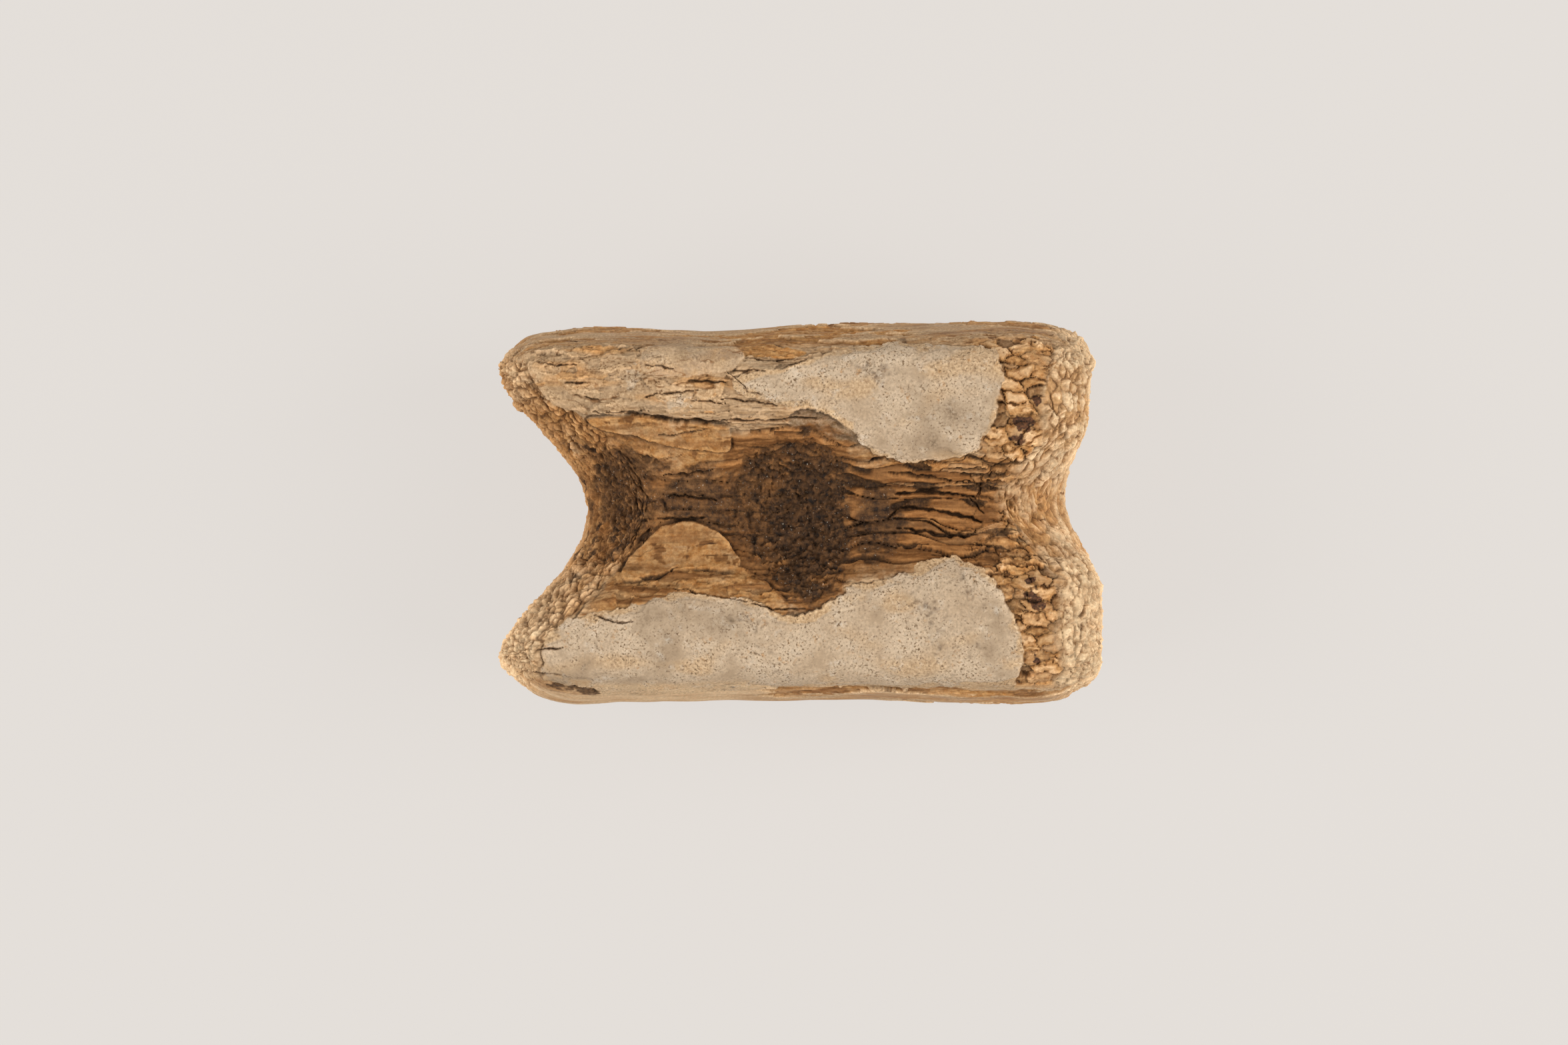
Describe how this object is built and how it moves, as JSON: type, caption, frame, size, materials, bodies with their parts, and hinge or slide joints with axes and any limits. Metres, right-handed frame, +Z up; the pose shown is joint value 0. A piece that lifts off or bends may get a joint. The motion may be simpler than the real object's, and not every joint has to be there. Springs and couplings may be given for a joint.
{
  "type": "whale tail vertebra",
  "caption": "Weathered whale tail vertebra: a small block of bone with two worn plates on ridges beside a dark pitted canal, and a deep notch in one end.",
  "frame": {"origin": "on the level that the bone rests on, under the middle of its bounding box", "axes": "+X along the bone from its deeply notched end to its blunt end, +Z up to the neural side with the canal and the two arch stumps"},
  "size_m": [0.0675, 0.043, 0.035],
  "materials": {
    "bone": "matte, dry and weathered"
  },
  "bodies": {
    "root": {"centrum": "bone"}
  },
  "joints": []
}
